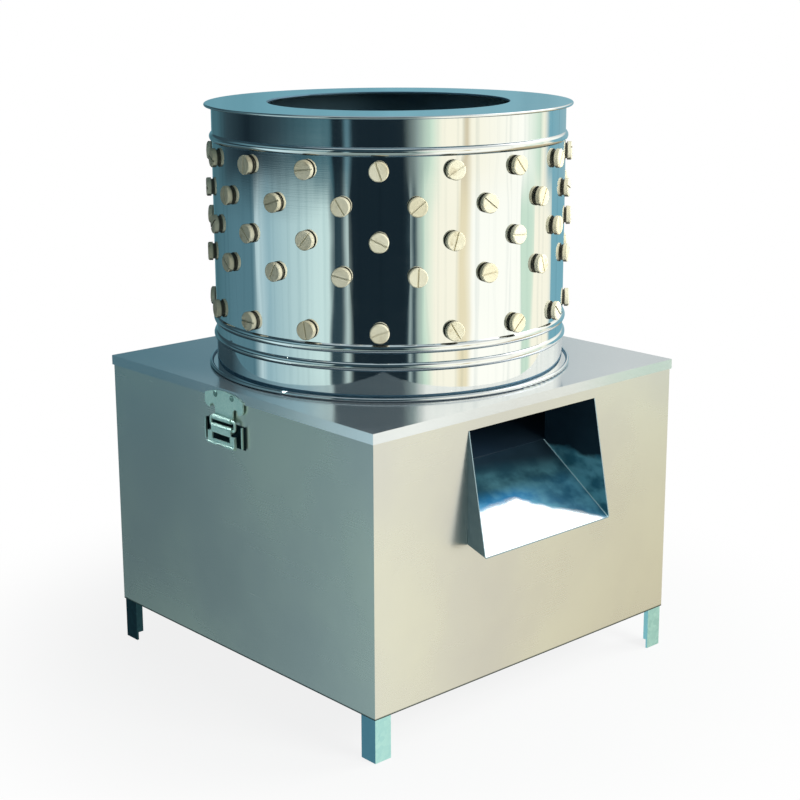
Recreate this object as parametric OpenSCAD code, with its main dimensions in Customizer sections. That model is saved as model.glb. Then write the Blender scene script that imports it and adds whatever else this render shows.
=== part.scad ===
// Drum poultry plucker: a drum lined with rubber fingers on a boxed stand, over a spinning fingered plate.
// Millimetres. Z is up, the drum's axis is the Z axis and the feather chute faces -Y.

/* [Drum] */
// Outer radius of the drum shell
drum_r = 250; // [242:1:256]
// Height of the drum shell above the lid
drum_h = 370; // [345:1:420]
// Sheet thickness of the drum shell
shell_t = 1.5; // [1:0.1:2.5]
// Radius of the mouth in the rim
mouth_r = 170; // [140:1:200]
// How far the rim stands out past the shell
rim_overhang = 10; // [6:0.5:16]
// Sheet thickness of the rim
rim_t = 2; // [1.5:0.1:3]
// Radius of the rolled hem round both edges of the rim
hem_r = 2; // [1.6:0.1:3]
// Width of the foot ring that ties the shell to the lid
foot_w = 11; // [8:0.5:16]
// Thickness of the foot ring
foot_t = 2.5; // [1.5:0.1:4]
// Radius of the roll round the foot ring's edge
foot_roll = 2.7; // [2.2:0.1:3.5]
// Height of each swaged bead, measured along the wall
bead_h = 12; // [8:0.5:16]
// How far a bead stands out of the wall
bead_out = 3.5; // [2:0.1:5]
// Height of the lower bead above the lid
bead_low = 45; // [30:1:50]
// Height of the middle bead above the lid
bead_mid = 69; // [64:1:72]
// Distance of the upper bead below the rim
bead_down = 44; // [35:1:50]

/* [Fingers] */
// Fingers in each row round the drum
row_count = 16; // [12:1:18]
// Height of the lowest row above the lid
row_first = 91; // [90:1:95]
// Height of the second row above the lid
row_second = 164.5; // [150:0.5:170]
// Spacing of the rows above the second
row_pitch = 45.8; // [40:0.2:50]
// Radius of a finger's head
head_r = 13; // [11:0.5:14]
// Thickness of a finger's head
head_t = 9; // [6:0.5:12]
// Height of the undercut below a finger's head
head_lift = 2.5; // [1:0.5:4]
// Radius of the neck that sits in the hole
neck_r = 9; // [7:0.5:10]
// Radius of a finger where it leaves the wall
root_r = 10.5; // [10.2:0.1:11.5]
// Radius of a finger at its tip
tip_r = 6.5; // [5:0.5:8]
// Length of a wall finger inside the drum
wall_finger = 76; // [60:1:78]
// Length of a plate finger above the plate
plate_finger = 70; // [55:1:73]
// Number of ribs on a finger
rib_count = 7; // [4:1:10]
// Height of a rib
rib_out = 1.2; // [0.6:0.1:1.5]
// Width of the slot across a finger's head
slot_w = 2.2; // [1:0.1:3]
// Depth of the slot across a finger's head
slot_d = 2; // [0.8:0.1:3]

/* [Stand] */
// Width and depth of the lid
lid_w = 580; // [570:1:620]
// Height of the lid's top above the floor
lid_top = 442; // [436:1:470]
// Sheet thickness of the lid
lid_t = 1.5; // [1:0.1:2]
// Height of the lid's turned-down lip
lip_h = 14; // [12:0.5:18]
// Sheet thickness of the side panels
panel_t = 1.5; // [1:0.1:2.5]
// Height of the panels' bottom edge above the floor
panel_bottom = 61; // [50:1:70]
// Width of the fold under the panels' bottom edge
fold_w = 16; // [10:1:22]
// Flange width of the corner legs
leg_w = 27; // [24:0.5:32]
// Flange thickness of the angle iron
angle_t = 3; // [2.5:0.1:4]
// Flange width of the rails between the legs
rail_w = 25; // [20:0.5:26]

/* [Chute and tray] */
// Half the inner width of the chute
chute_half = 122; // [100:1:140]
// Distance of the chute's top edge below the lid's top
chute_drop = 29; // [29:1:42]
// Distance of the chute's lip below the lid's top
chute_fall = 193.5; // [186:0.5:207]
// How far the lip stands out of the front panel
chute_reach = 32; // [20:1:45]
// Slope of the chute's floor in degrees
chute_slope = 35; // [33:0.5:36]
// Depth of the chute behind the front panel's face
chute_run = 91; // [83:1:98]
// Drop of the cheek's foot where it meets the panel, below the floor there
cheek_skirt = 12; // [4:0.5:14]
// Sheet thickness of the chute and the tray
tray_t = 1.5; // [1:0.1:2]
// Height of the feather tray's rear wall, above the high end of its floor
tray_rear = 6; // [4:0.5:14]
// Air between the feather tray's walls and the edges of the legs
tray_gap = 3.5; // [2.5:0.5:7.5]

/* [Spindle] */
// Radius of the main shaft
shaft_r = 15; // [12:0.5:16]
// Outer radius of the spindle bearings
bearing_r = 31; // [29:0.5:34]
// Width of the spindle bearings
bearing_w = 16; // [13:0.5:19]
// Outer radius of the spindle housing
housing_r = 42; // [40:0.5:46]
// Height of the spindle housing on its beam
housing_h = 182; // [150:1:188]
// Half the side of the housing's square flange
flange_half = 55; // [54:0.5:58]
// Thickness of the housing's flange
flange_t = 12; // [8:0.5:16]
// Height of the top of the beam rails above the floor
beam_z = 140; // [136:1:142]
// Half the width of the cross beam
beam_half = 64; // [62:0.5:70]
// Plate thickness of the cross beam
beam_t = 5; // [4:0.5:7]
// Height of the cross beam's flanges
beam_h = 40; // [25:1:50]
// Shank radius of the frame bolts
bolt_r = 5; // [4:0.1:5.2]

/* [Rotor] */
// Air between the edge of the spinning plate and the inside of the shell
plate_gap = 14.5; // [12.5:0.5:20.5]
// Thickness of the spinning plate
plate_t = 5; // [4:0.5:6]
// How far the plate's top stands above the lid's top
plate_rise = 2; // [0:0.5:3]
// Distance from the plate's edge to its outer ring of fingers
ring_edge = 32; // [28:1:36]
// Spacing of the plate's rings of fingers
ring_step = 53; // [46:1:54]
// Radius of the hub's flange under the plate
hub_r = 62; // [50:1:68]
// Thickness of the hub's flange
hub_t = 10; // [8:0.5:12]
// Height of the hub's boss
boss_h = 28; // [20:1:30]
// Radius of the hub's boss
boss_r = 30; // [26:1:34]

/* [Drive] */
// Distance from the spindle to the motor's axis
drive_c = 185; // [176:1:188]
// Pitch radius of the big pulley on the spindle
big_pitch = 130; // [110:1:134]
// Pitch radius of the small pulley on the motor
small_pitch = 30; // [28:1:34]
// Width of a belt at its outer face
belt_w = 13; // [10:0.5:14]
// Thickness of a belt
belt_t = 8; // [6:0.5:9]
// Spacing of the two belts
belt_pitch = 16; // [15:0.5:18]
// Height of the pulleys' underside above the floor
pulley_z = 86; // [80:1:90]

/* [Motor] */
// Radius over the motor's cooling fins
motor_r = 80; // [76:0.5:81]
// Depth of the cooling fins
fin_d = 10; // [6:0.5:12]
// Number of cooling fins
fin_count = 28; // [16:1:32]
// Length of the finned body
stator_h = 145; // [120:1:150]
// Radius of the motor's shaft
motor_shaft_r = 12; // [9.5:0.5:14]
// Height of the fan cover
fan_cover_h = 46; // [40:1:50]
// Thickness of the motor's base plate
motor_plate_t = 6; // [5:0.5:8]

/* [Latches] */
// Distance of the latches behind the middle of the sides
latch_back = 13; // [0:0.5:40]
// Width of a latch's keeper plate
keeper_w = 86; // [84:1:92]
// Sheet thickness of the latch's pieces
latch_t = 2; // [1.5:0.1:2.2]
// Radius of the latch's wire
wire_r = 2; // [1.6:0.1:2.2]
// Height of the link's upper wire below the lid's top
link_drop = 41; // [37:0.5:42]
// Length of the link between its two wires
link_l = 13; // [13:0.5:16]
// Length of the lever below the link's lower wire
lever_l = 25; // [24:0.5:32]
// Half the width of the lever
lever_half = 30; // [29.5:0.5:32]
// Distance between a keeper's two rivets
rivet_pitch = 37; // [32:1:40]

/* [Clearances] */
// Air between the lid's lip and the panels
lip_gap = 0.5; // [0.3:0.1:1]
// Air between the lid and the frame that it rests on
seat_gap = 0.2; // [0.1:0.1:0.4]
// Radial air of a turning fit
run_gap = 0.05; // [0.02:0.01:0.1]
// Radial air of a pressed or bolted fit
fit_gap = 0.02; // [0.01:0.01:0.05]
// Air round a part that passes through a sheet
pass_gap = 0.3; // [0.2:0.1:0.5]

/* [Hidden] */
$fn = 96;

// Overshoot of a cutting shape past the face that it cuts
cut = 1;

// Hex bolts, as multiples of the shank's radius: corner radius, head, nut and tail
corner_ratio = 1.85;
head_ratio = 1.3;
nut_ratio = 1.6;
tail_ratio = 2.2;

// Planes of the stand, as half widths from the drum's axis
lid_half = lid_w / 2;
panel_half = lid_half - lid_t - lip_gap;
frame_half = panel_half - panel_t;
leg_in = frame_half - leg_w;
web_in = frame_half - angle_t;
lid_under = lid_top - lid_t;
frame_top = lid_under - seat_gap;
panel_top = frame_top - angle_t;
rail_low = panel_bottom + panel_t;
rail_high = frame_top - rail_w;

// Drum and fingers
shell_in = drum_r - shell_t;
shell_top = lid_top + drum_h;
row_z = [lid_top + row_first, for (i = [0:3]) lid_top + row_second + i * row_pitch];
head_gap = 0.1;
root_gap = 0.4;
hole_r = neck_r + pass_gap;
head_chamfer = 1.2;
stem_r = (head_r + neck_r) / 2;
tip_chamfer = 3;

// Chute and tray, as depths along Y and heights along Z
chute_top = lid_top - chute_drop;
chute_lip = lid_top - chute_fall;
chute_lip_y = -panel_half - chute_reach;
chute_back = panel_half - chute_run;
function chute_floor(y) = chute_lip + (y - chute_lip_y) * tan(chute_slope);
tray_top = rail_high;
tray_half = leg_in - tray_gap;
tray_front = -chute_back + pass_gap;
tray_low = chute_floor(-chute_back) + tray_t / 2;
tray_rise = (tray_top - tray_rear - tray_low) / (tray_half - tray_front);
function tray_floor(y) = tray_low + (y - tray_front) * tray_rise;
chute_floor_drop = tray_t / cos(chute_slope);
tray_floor_drop = tray_t / cos(atan(tray_rise));
chute_hole_half = chute_half + tray_t + pass_gap;

// Spindle and rotor
web_top = beam_z + beam_t;
plate_r = shell_in - plate_gap;
plate_top = lid_top + plate_rise;
plate_under = plate_top - plate_t;
hub_under = plate_under - hub_t;
boss_under = hub_under - boss_h;
collar_gap = 4;
collar_wall = 3;
collar_r = shaft_r + 2;
flange_pitch = flange_half - 13;
beam_end = web_in - angle_t - lip_gap;
beam_rail_w = 30;
beam_bolt_x = web_in - beam_rail_w / 2 - angle_t;
beam_bolt_y = beam_half - 20;
shoulder_r = shaft_r + 3;
upper_seat = web_top + housing_h - bearing_w - 6;
lower_seat = web_top + 6;

// Rings of fingers on the spinning plate: radius and count
ring_outer = [plate_r - ring_edge, 16];
ring_middle = [ring_outer[0] - ring_step, 12];
ring_inner = [ring_middle[0] - ring_step, 8];
plate_bolt_pcd = hub_r - 14;
plate_bolt_count = 6;
plate_bolt_r = 4;

// Drive
pitch_depth = 3;
belt_gap = 0.3;
belt_slope = tan(19);
belt_taper = belt_slope * belt_t;
groove_d = belt_t + 3;
pulley_w = belt_pitch + belt_w + 6;
belt_z = [for (s = [-1, 1]) pulley_z + pulley_w / 2 + s * belt_pitch / 2];
wrap = asin((big_pitch - small_pitch) / drive_c);
run_l = drive_c * cos(wrap);
key_bolt_r = 5;
key_bolt_l = 25;

// Motor, standing on its plate with the shaft down
motor_rail_w = 30;
motor_rail_y = motor_r + 8;
motor_plate_z = beam_z + angle_t;
motor_z = motor_plate_z + motor_plate_t;
bell_flange_t = 12;
bell_h = 26;
stator_z = motor_z + bell_h;
fan_z = stator_z + stator_h;
fan_cover_t = 1.5;
core_r = motor_r - fin_d;
bell_bolt_r = motor_r - 10;
motor_bolt_r = 4;
spigot_r = 55;
spigot_h = 4;
pad_half = 32;
pad_x = motor_r + 4;
box_d = 38;
box_t = 3;
box_z = stator_z + stator_h / 2;
motor_slot = 16;
motor_plate_x = motor_r + 16;
slot_x = motor_plate_x - 14;

// Cable gland on the rear panel
gland_x = -150;
gland_z = 120;
gland_reach = 32;
gland_r = 10;
gland_bore = 5;
gland_nut = 14;
gland_flange = 8;

// Latch, drawn on the +X side
roll_r = wire_r + run_gap + latch_t;
pin_x = lid_half + roll_r;
link_z = lid_top - link_drop;
lever_z = link_z - link_l;
knuckle_half = 20;
link_half = 27;
lever_neck = 22;
scoop_r = 25;
scoop_rise = 3;
keeper_rise = 8;
keeper_lobe = 8;
lobe_z = lid_top - 22;
keeper_top = lid_top - 3;
rivet_z = lid_top - 9.5;
rivet_r = 2.5;
lever_face = pin_x + roll_r - latch_t;
lever_low = lever_z - lever_l;
base_half = 42;
base_t = latch_t - 0.8;
base_high = lever_z + 8;
base_side = 6;

// Shared forms
module mirror_copy(axis) {
    children();
    mirror(axis) children();
}

module at_corners(half_x, half_y) {
    for (x = [-half_x, half_x], y = [-half_y, half_y]) translate([x, y, 0]) children();
}

// Angle iron standing along Z with its outer corner on the axis and its flanges along +X and +Y
module angle_iron(w, t, l) {
    linear_extrude(l) polygon([[0, 0], [w, 0], [w, t], [t, t], [t, w], [0, w]]);
}

// Angle iron lying along Y, centred, with its back to +X; the flat flange is on top or at the bottom
module rail(w, t, l, flat_on_top) {
    z = flat_on_top ? w - t : 0;
    translate([-t, -l / 2, 0]) cube([t, l, w]);
    translate([-w, -l / 2, z]) cube([w, l, t]);
}

// Hex bolt down -Z from a seat at z = 0, with a nut under the grip and a short tail past the nut
module hex_bolt(r, grip) {
    cylinder(h = head_ratio * r, r = corner_ratio * r, $fn = 6);
    translate([0, 0, -grip - tail_ratio * r]) cylinder(h = grip + tail_ratio * r, r = r);
    translate([0, 0, -grip - nut_ratio * r]) cylinder(h = nut_ratio * r, r = corner_ratio * r, $fn = 6);
}

// Section of a bar in the X, Z plane carried along Y, centred
module along_y(l) {
    rotate([90, 0, 0]) linear_extrude(l, center = true) children();
}

// Outline in the Y, Z plane carried along +X from x = 0
module along_x(l) {
    rotate([90, 0, 90]) linear_extrude(l) children();
}

// Rubber finger: slotted, undercut head above z = 0, neck through the wall, ribbed taper below it
module finger(wall, length, slot_turn) {
    shoulder = -wall - root_gap;
    tip = shoulder - length;
    pitch = (length - 2 * tip_chamfer) / rib_count;
    function taper(z) = root_r - rib_out + (tip_r - root_r + rib_out) * (shoulder - z) / length;
    crown = head_gap + head_t;
    difference() {
        rotate_extrude($fn = 48) polygon([
            [0, crown], [head_r - head_chamfer, crown], [head_r, crown - head_chamfer],
            [head_r, head_gap + head_lift], [stem_r, head_gap + head_lift], [stem_r, head_gap],
            [neck_r, head_gap], [neck_r, shoulder],
            for (i = [0:rib_count - 1])
                let (z = shoulder - i * pitch, low = taper(z))
                each [[low + rib_out, z], [low + rib_out, z - 0.35 * pitch], [low, z - 0.7 * pitch]],
            [taper(tip + tip_chamfer), tip + tip_chamfer], [tip_r - tip_chamfer, tip], [0, tip]]);
        translate([0, 0, crown - slot_d / 2])
            rotate([0, 0, slot_turn]) cube([3 * head_r, slot_w, slot_d + 0.001], center = true);
    }
}

function row_turn(row) = (row % 2) * 180 / row_count;

module round_drum(row) {
    for (k = [0:row_count - 1])
        rotate([0, 0, row_turn(row) + k * 360 / row_count])
            translate([drum_r, 0, row_z[row]]) rotate([0, 90, 0])
                let ($slot_turn = (row * 67 + k * 101) % 180) children();
}

module wall_fingers(row) {
    color("wheat") round_drum(row) finger(shell_t, wall_finger, $slot_turn);
}

module round_plate(ring) {
    for (k = [0:ring[1] - 1])
        rotate([0, 0, (k + 0.5) * 360 / ring[1]]) translate([ring[0], 0, 0]) children();
}

module plate_fingers(ring) {
    color("wheat") translate([0, 0, plate_under]) round_plate(ring)
        rotate([180, 0, 0]) finger(plate_t, plate_finger, ring[1] * 13);
}

// Legs and rails
module leg(sx, sy) {
    color("slategray") mirror([sx > 0 ? 1 : 0, 0, 0]) mirror([0, sy > 0 ? 1 : 0, 0])
        translate([-frame_half, -frame_half, 0]) angle_iron(leg_w, angle_t, frame_top);
}

module leg_front_left() { leg(-1, -1); }
module leg_front_right() { leg(1, -1); }
module leg_rear_left() { leg(-1, 1); }
module leg_rear_right() { leg(1, 1); }

module rail_frame(z, flat_on_top) {
    for (turn = [0:90:270])
        rotate([0, 0, turn]) translate([frame_half, 0, z]) rail(rail_w, angle_t, 2 * leg_in, flat_on_top);
}

module lower_rails() { color("slategray") rail_frame(rail_low, false); }
module upper_rails() { color("slategray") rail_frame(rail_high, true); }

// Panel with its outer face at -Y and its bottom edge folded in under the rail
module panel(half) {
    translate([-half, -panel_half, panel_bottom]) cube([2 * half, panel_t, panel_top - panel_bottom]);
    translate([-leg_in + pass_gap, -panel_half, panel_bottom])
        cube([2 * (leg_in - pass_gap), panel_t + fold_w, panel_t]);
}

module front_panel() {
    sill = chute_floor(-panel_half) - chute_floor_drop - pass_gap;
    color("lightgray") difference() {
        panel(panel_half);
        translate([-chute_hole_half, -panel_half - cut, sill])
            cube([2 * chute_hole_half, panel_t + 2 * cut, chute_top + pass_gap - sill]);
    }
}

module rear_panel() {
    color("lightgray") difference() {
        rotate([0, 0, 180]) panel(panel_half);
        translate([gland_x, panel_half, gland_z]) rotate([90, 0, 0])
            cylinder(h = 4 * panel_t, r = gland_r + pass_gap, center = true);
    }
}

module left_panel() { color("lightgray") rotate([0, 0, -90]) panel(frame_half); }
module right_panel() { color("lightgray") rotate([0, 0, 90]) panel(frame_half); }

// Chute: sloped floor between two walls that run out of the panel as three-cornered cheeks
module chute_wall() {
    face = -panel_half - pass_gap;
    foot = chute_floor(face) - chute_floor_drop;
    along_x(tray_t) polygon([
        [-chute_back, chute_top], [face, chute_top], [chute_lip_y, chute_lip],
        [face, foot + tray_t - cheek_skirt], [face, foot],
        [-chute_back, chute_floor(-chute_back) - chute_floor_drop]]);
}

module chute() {
    color("silver") {
        translate([-chute_half, 0, 0]) along_x(2 * chute_half) polygon([
            [chute_lip_y, chute_lip], [-chute_back, chute_floor(-chute_back)],
            [-chute_back, chute_floor(-chute_back) - chute_floor_drop],
            [chute_lip_y, chute_lip - chute_floor_drop]]);
        mirror_copy([1, 0, 0]) translate([chute_half, 0, 0]) chute_wall();
    }
}

// Feather tray: sloped floor in four walls, hung by its turned-out edges under the upper rails
module tray_walls() {
    for (turn = [0:90:270]) rotate([0, 0, turn])
        translate([-tray_half, -tray_half, 0]) cube([2 * tray_half, tray_t, tray_top]);
}

module tray_edges() {
    for (turn = [0:90:270]) rotate([0, 0, turn])
        translate([-tray_half, -frame_half, tray_top - tray_t])
            cube([2 * tray_half, frame_half - tray_half + tray_t, tray_t]);
}

module feather_tray() {
    low = -tray_half;
    color("silver") difference() {
        union() {
            intersection() {
                tray_walls();
                translate([-lid_half, 0, 0]) along_x(lid_w) polygon([
                    [-lid_half, tray_floor(-lid_half) - tray_floor_drop],
                    [lid_half, tray_floor(lid_half) - tray_floor_drop],
                    [lid_half, lid_top], [-lid_half, lid_top]]);
            }
            tray_edges();
            translate([low, 0, 0]) along_x(2 * tray_half) polygon([
                [low, tray_floor(low)], [low, tray_floor(low) - tray_floor_drop],
                [-low, tray_floor(-low) - tray_floor_drop], [-low, tray_floor(-low)]]);
        }
        translate([-chute_hole_half, -lid_half, 0])
            cube([2 * chute_hole_half, lid_half + tray_front, chute_top + pass_gap]);
        cylinder(h = lid_top, r = collar_r + collar_wall + pass_gap);
    }
}

module shaft_collar() {
    low = tray_floor(0) - 3 * collar_r * tray_rise;
    color("silver") translate([0, 0, low]) difference() {
        cylinder(h = boss_under - collar_gap - low, r = collar_r + collar_wall);
        translate([0, 0, -cut]) cylinder(h = lid_top, r = collar_r);
    }
}

// Beam that carries the spindle, and its rails
module beam_rails() {
    color("slategray") mirror_copy([1, 0, 0]) difference() {
        translate([web_in, 0, beam_z - beam_rail_w]) rail(beam_rail_w, angle_t, 2 * web_in, true);
        for (y = [-beam_bolt_y, beam_bolt_y]) translate([beam_bolt_x, y, beam_z - beam_rail_w])
            cylinder(h = 2 * beam_rail_w, r = bolt_r + pass_gap);
    }
}

module cross_beam() {
    color("slategray") translate([0, 0, beam_z]) difference() {
        union() {
            translate([-beam_end, -beam_half, 0]) cube([2 * beam_end, 2 * beam_half, beam_t]);
            mirror_copy([0, 1, 0]) translate([-beam_end, beam_half - beam_t, 0])
                cube([2 * beam_end, beam_t, beam_h]);
        }
        translate([0, 0, -cut]) {
            cylinder(h = beam_h, r = bearing_r);
            at_corners(flange_pitch, flange_pitch) cylinder(h = beam_h, r = bolt_r + pass_gap);
            at_corners(beam_bolt_x, beam_bolt_y) cylinder(h = beam_h, r = bolt_r + pass_gap);
        }
    }
}

// Bolts of the beam, of the spindle's flange and of the motor's plate
module frame_bolts() {
    color("gray") {
        translate([0, 0, web_top]) at_corners(beam_bolt_x, beam_bolt_y) hex_bolt(bolt_r, beam_t + angle_t);
        translate([0, 0, web_top + flange_t]) at_corners(flange_pitch, flange_pitch)
            hex_bolt(bolt_r, flange_t + beam_t);
        translate([0, drive_c, motor_z]) at_corners(slot_x, motor_rail_y - motor_rail_w / 2 - angle_t)
            hex_bolt(motor_bolt_r, motor_plate_t + angle_t);
    }
}

module spindle_housing() {
    color("dimgray") translate([0, 0, web_top]) difference() {
        union() {
            translate([-flange_half, -flange_half, 0]) cube([2 * flange_half, 2 * flange_half, flange_t]);
            cylinder(h = housing_h, r = housing_r);
            for (turn = [0:90:270]) rotate([90, 0, turn]) linear_extrude(6, center = true)
                polygon([[housing_r - cut, 0], [flange_half, flange_t], [housing_r - cut, housing_h / 3]]);
        }
        translate([0, 0, -cut]) cylinder(h = housing_h + 2 * cut, r = bearing_r - 4);
        translate([0, 0, lower_seat - web_top - bearing_w])
            cylinder(h = 2 * bearing_w, r = bearing_r + fit_gap);
        translate([0, 0, upper_seat - web_top]) cylinder(h = housing_h, r = bearing_r + fit_gap);
        at_corners(flange_pitch, flange_pitch) translate([0, 0, -cut])
            cylinder(h = flange_t + 2 * cut, r = bolt_r + pass_gap);
    }
}

// Sealed ball bearing: two races with a sunk seal between them on both faces
module bearing(z) {
    inner = shaft_r + run_gap;
    race = (bearing_r - inner) / 4;
    seal = 0.8;
    color("silver") translate([0, 0, z]) rotate_extrude() difference() {
        translate([inner, 0]) square([bearing_r - inner, bearing_w]);
        for (y = [-cut, bearing_w - seal]) translate([inner + race, y]) square([2 * race, seal + cut]);
    }
}

module upper_bearing() { bearing(upper_seat); }
module lower_bearing() { bearing(lower_seat); }

// Motor, its plate and its rails
module motor_rails() {
    color("slategray") translate([0, drive_c, beam_z]) mirror_copy([0, 1, 0]) difference() {
        union() {
            translate([-beam_end, motor_rail_y - angle_t, 0]) cube([2 * beam_end, angle_t, motor_rail_w]);
            translate([-beam_end, motor_rail_y - motor_rail_w, 0])
                cube([2 * beam_end, motor_rail_w, angle_t]);
        }
        for (x = [-slot_x, slot_x]) translate([x, motor_rail_y - motor_rail_w / 2 - angle_t, -cut])
            cylinder(h = angle_t + 2 * cut, r = motor_bolt_r + pass_gap);
    }
}

// Plate with lengthways slots, so that the motor can be drawn back to tighten the belts
module motor_plate() {
    half_y = motor_rail_y - angle_t - lip_gap;
    slot_y = motor_rail_y - motor_rail_w / 2 - angle_t;
    slot_r = motor_bolt_r + pass_gap;
    color("slategray") translate([0, drive_c, motor_plate_z]) difference() {
        translate([-motor_plate_x, -half_y, 0]) cube([2 * motor_plate_x, 2 * half_y, motor_plate_t]);
        translate([0, 0, -cut]) {
            cylinder(h = motor_plate_t + 2 * cut, r = spigot_r + pass_gap);
            at_corners(slot_x, slot_y) {
                translate([-slot_r, -motor_slot / 4, 0])
                    cube([2 * slot_r, motor_slot / 2, motor_plate_t + 2 * cut]);
                for (y = [-motor_slot / 4, motor_slot / 4]) translate([0, y, 0])
                    cylinder(h = motor_plate_t + 2 * cut, r = slot_r);
            }
            for (turn = [45:90:315]) rotate([0, 0, turn]) translate([bell_bolt_r, 0, 0])
                cylinder(h = motor_plate_t + 2 * cut, r = motor_bolt_r + pass_gap);
        }
    }
}

module motor_bolts() {
    color("gray") translate([0, drive_c, motor_z + bell_flange_t]) for (turn = [45:90:315])
        rotate([0, 0, turn]) translate([bell_bolt_r, 0, 0])
            hex_bolt(motor_bolt_r, bell_flange_t + motor_plate_t);
}

// Drive end of the motor: bolted flange with a spigot, and the bell that holds the shaft
module motor_end_bell() {
    bell_r = bell_bolt_r - 2.2 * motor_bolt_r;
    color("steelblue") translate([0, drive_c, motor_z]) difference() {
        union() {
            translate([0, 0, -spigot_h]) cylinder(h = spigot_h + cut, r = spigot_r);
            cylinder(h = bell_flange_t, r = motor_r);
            cylinder(h = bell_h, r = bell_r);
        }
        translate([0, 0, -spigot_h - cut]) {
            cylinder(h = bell_h + spigot_h + 2 * cut, r = motor_shaft_r + run_gap);
            cylinder(h = spigot_h + bell_flange_t / 2, r = spigot_r - 12);
        }
        for (turn = [45:90:315]) rotate([0, 0, turn]) translate([bell_bolt_r, 0, -cut])
            cylinder(h = bell_flange_t + 2 * cut, r = motor_bolt_r + pass_gap);
    }
}

// Finned stator housing with a pad for the terminal box
module motor_body() {
    fin_t = 3;
    fin_inset = 6;
    color("steelblue") translate([0, drive_c, stator_z]) difference() {
        union() {
            cylinder(h = stator_h, r = core_r);
            for (k = [0:fin_count - 1]) rotate([0, 0, (k + 0.5) * 360 / fin_count])
                translate([core_r - cut, -fin_t / 2, fin_inset])
                    cube([fin_d + cut, fin_t, stator_h - 2 * fin_inset]);
            translate([core_r - 2 * fin_d, -pad_half, stator_h / 2 - pad_half])
                cube([pad_x - core_r + 2 * fin_d, 2 * pad_half, 2 * pad_half]);
        }
        translate([0, 0, -cut]) cylinder(h = stator_h + 2 * cut, r = motor_shaft_r + 1);
    }
}

// Fan cover slipped over the end of the stator, with a ring of slots in its top
module motor_fan_cover() {
    slot_count = 12;
    inner = core_r + pass_gap;
    grip = 5;
    color("steelblue") translate([0, drive_c, fan_z]) difference() {
        translate([0, 0, -grip]) cylinder(h = fan_cover_h + grip, r = inner + fan_cover_t);
        translate([0, 0, -grip - cut]) cylinder(h = fan_cover_h + grip + cut - fan_cover_t, r = inner);
        for (k = [0:slot_count - 1]) rotate([0, 0, k * 360 / slot_count])
            translate([core_r * 0.3, -3, fan_cover_h / 2]) cube([core_r * 0.5, 6, fan_cover_h]);
    }
}

module terminal_box() {
    color("steelblue") translate([pad_x, drive_c, box_z]) difference() {
        translate([0, -pad_half, -pad_half]) cube([box_d, 2 * pad_half, 2 * pad_half]);
        translate([box_t, box_t - pad_half, box_t - pad_half])
            cube([box_d, 2 * (pad_half - box_t), 2 * (pad_half - box_t)]);
        translate([box_d / 2, 0, -pad_half]) cylinder(h = 4 * box_t, r = gland_bore + 1, center = true);
    }
}

module terminal_lid() {
    color("steelblue") translate([pad_x + box_d, drive_c - pad_half, box_z - pad_half])
        cube([box_t, 2 * pad_half, 2 * pad_half]);
}

// Belt section about its pitch line, with its outer face at +X and a skin of stock all round
module belt_section(skin) {
    top = belt_w / 2 + skin;
    foot = belt_w / 2 - belt_taper + skin;
    inner = pitch_depth - belt_t - skin;
    outer = pitch_depth + skin;
    polygon([[outer, -top], [outer, top], [inner, foot], [inner, -foot]]);
}

// Part of a belt round a pulley, run on by one degree into the straight at both ends
module belt_arc(r, start, sweep) {
    lap = 1;
    rotate([0, 0, start - lap]) rotate_extrude(angle = sweep + 2 * lap) translate([r, 0]) belt_section(0);
}

// The straight runs are a hair fuller than the arcs and swallow their ends
module belt() {
    skin = 0.05;
    belt_arc(big_pitch, 180 - wrap, 180 + 2 * wrap);
    translate([0, drive_c, 0]) belt_arc(small_pitch, wrap, 180 - 2 * wrap);
    mirror_copy([1, 0, 0]) rotate([0, 0, wrap]) translate([big_pitch, run_l / 2, 0])
        along_y(run_l) belt_section(skin);
}

module drive_belts() {
    color("dimgray") for (z = belt_z) translate([0, 0, z]) belt();
}

// V grooves for both belts, as a section to take from a pulley's rim
module groove_sections(pitch) {
    rim = pitch + pitch_depth + cut;
    floor_r = rim - cut - groove_d;
    wide = belt_w / 2 + belt_gap + cut * belt_slope;
    narrow = belt_w / 2 + belt_gap - groove_d * belt_slope;
    for (z = belt_z) translate([0, z])
        polygon([[rim, -wide], [rim, wide], [floor_r, narrow], [floor_r, -narrow]]);
}

module pulley_rim(pitch, depth) {
    rotate_extrude() difference() {
        translate([pitch + pitch_depth - depth, pulley_z]) square([depth, pulley_w]);
        groove_sections(pitch);
    }
}

module driven_pulley() {
    rim_d = groove_d + 9;
    web_t = 10;
    pulley_hub = shaft_r + 14;
    web_mid = (pulley_hub + big_pitch - rim_d) / 2;
    color("dimgray") {
        pulley_rim(big_pitch, rim_d);
        difference() {
            union() {
                translate([0, 0, pulley_z]) cylinder(h = pulley_w, r = pulley_hub);
                translate([0, 0, pulley_z + (pulley_w - web_t) / 2])
                    cylinder(h = web_t, r = big_pitch + pitch_depth - rim_d);
            }
            translate([0, 0, pulley_z - cut]) {
                cylinder(h = pulley_w + 2 * cut, r = shaft_r + fit_gap);
                for (turn = [0:60:300]) rotate([0, 0, turn]) translate([web_mid, 0, 0])
                    cylinder(h = pulley_w, r = (big_pitch - rim_d - pulley_hub) / 3);
            }
        }
    }
}

module motor_pulley() {
    color("dimgray") translate([0, drive_c, 0])
        pulley_rim(small_pitch, small_pitch + pitch_depth - motor_shaft_r - fit_gap);
}

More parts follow.
